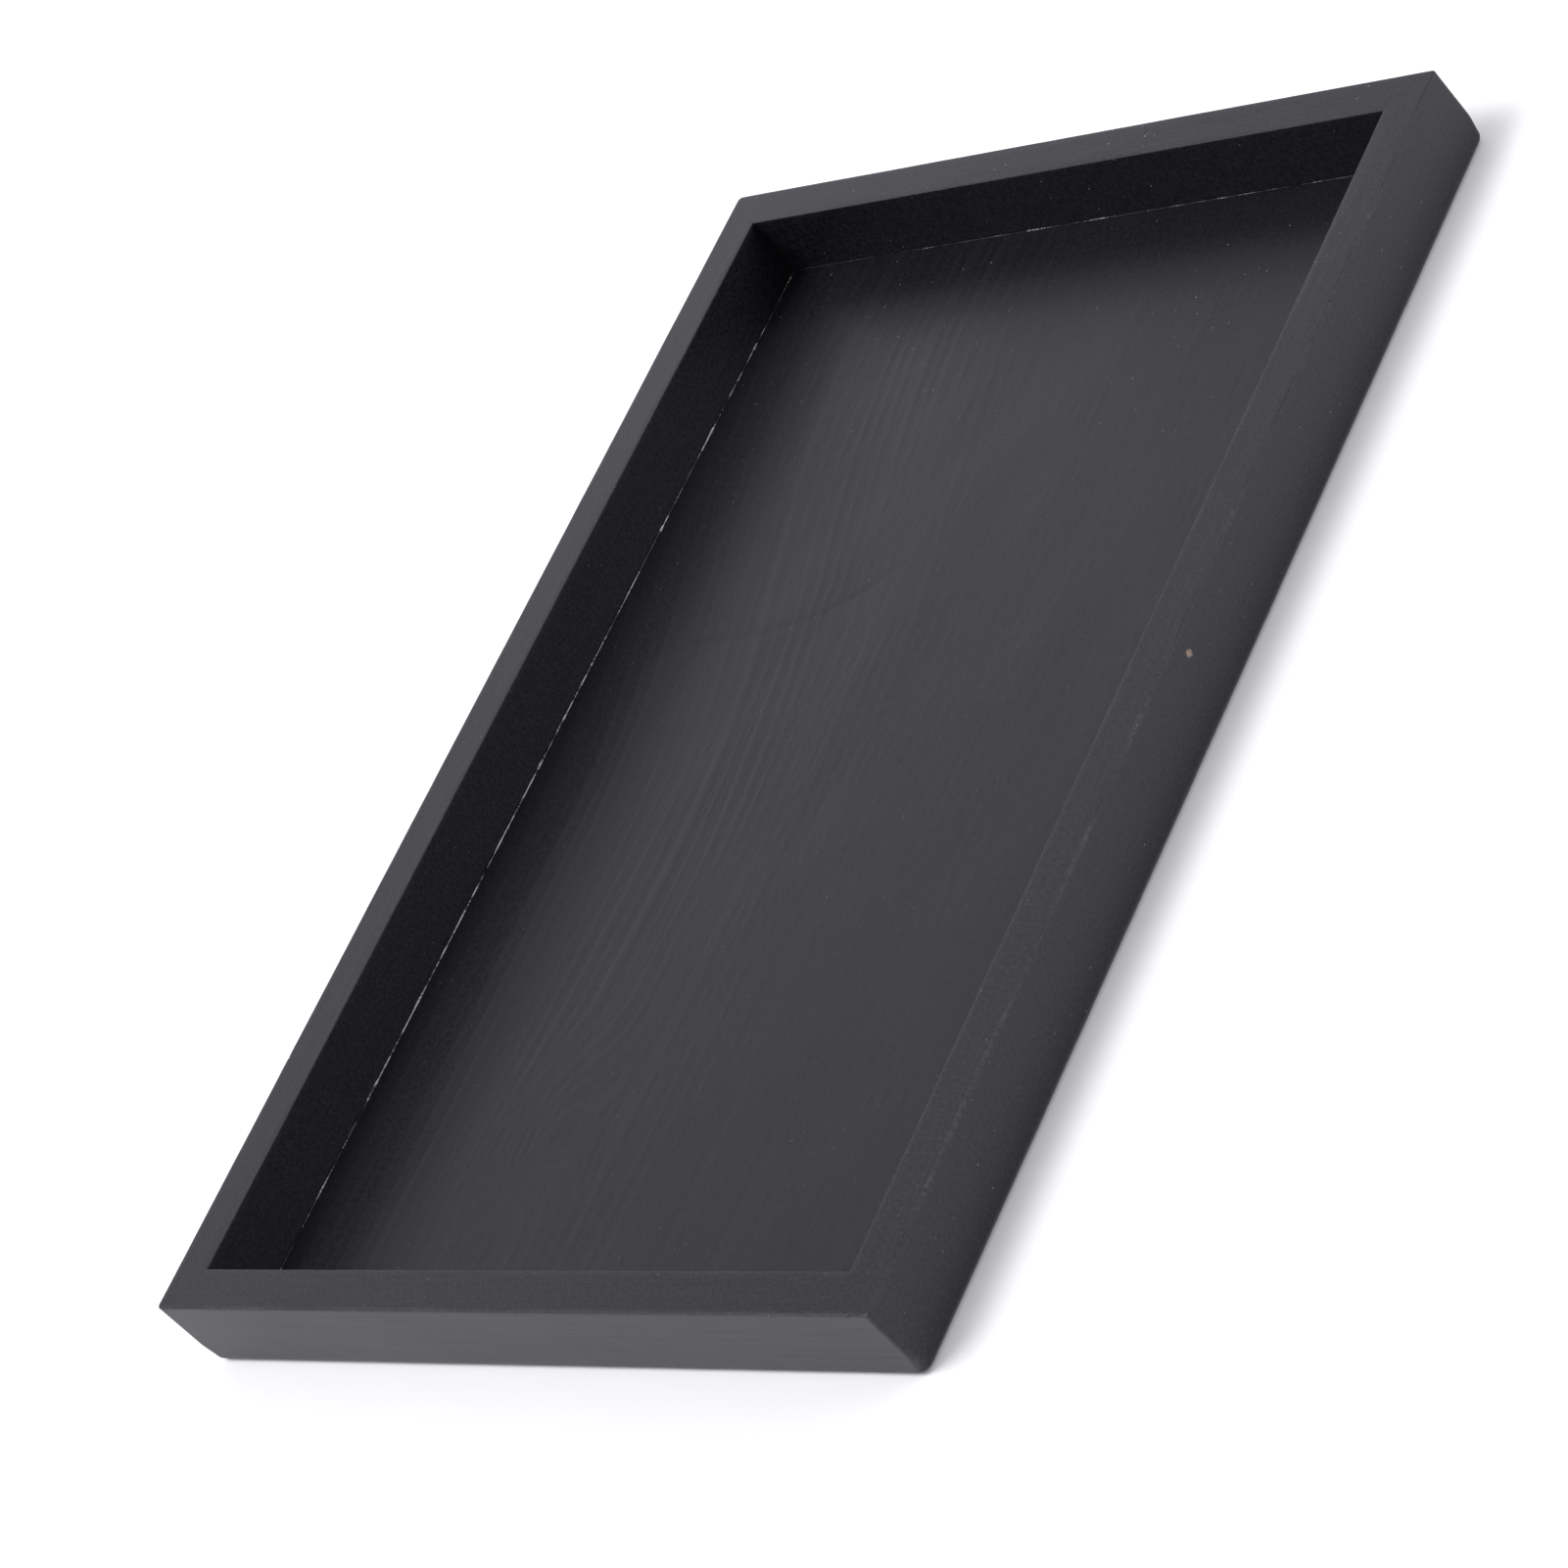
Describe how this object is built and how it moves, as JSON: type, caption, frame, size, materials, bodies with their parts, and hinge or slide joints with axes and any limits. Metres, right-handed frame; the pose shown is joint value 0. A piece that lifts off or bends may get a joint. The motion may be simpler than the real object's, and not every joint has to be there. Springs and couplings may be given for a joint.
{
  "type": "shadow box",
  "caption": "Shallow open shadow box: mitred black painted wood rails round a thin plywood back panel set in a rebate, for laying out or hanging up small collectibles.",
  "frame": {"origin": "middle of the back, which the box lies on", "axes": "+Z out of the open front, +Y along the long sides towards the top rail, +X across towards the right rail"},
  "size_m": [0.2, 0.3, 0.02],
  "materials": {
    "painted_wood": "black satin paint over sanded wood",
    "painted_board": "thin black satin paint over plywood veneer",
    "v_nail_steel": "bright rolled steel strip",
    "pin_steel": "zinc plated steel wire"
  },
  "bodies": {
    "root": {"rail_left": "painted_wood", "rail_right": "painted_wood", "rail_top": "painted_wood", "rail_bottom": "painted_wood", "back_panel": "painted_board", "v_nail_top_left_outer": "v_nail_steel", "v_nail_top_left_inner": "v_nail_steel", "v_nail_top_right_outer": "v_nail_steel", "v_nail_top_right_inner": "v_nail_steel", "v_nail_bottom_left_outer": "v_nail_steel", "v_nail_bottom_left_inner": "v_nail_steel", "v_nail_bottom_right_outer": "v_nail_steel", "v_nail_bottom_right_inner": "v_nail_steel", "panel_pin_top_1": "pin_steel", "panel_pin_top_2": "pin_steel", "panel_pin_left_1": "pin_steel", "panel_pin_left_2": "pin_steel", "panel_pin_left_3": "pin_steel", "panel_pin_bottom_1": "pin_steel", "panel_pin_bottom_2": "pin_steel", "panel_pin_right_1": "pin_steel", "panel_pin_right_2": "pin_steel", "panel_pin_right_3": "pin_steel"}
  },
  "joints": []
}
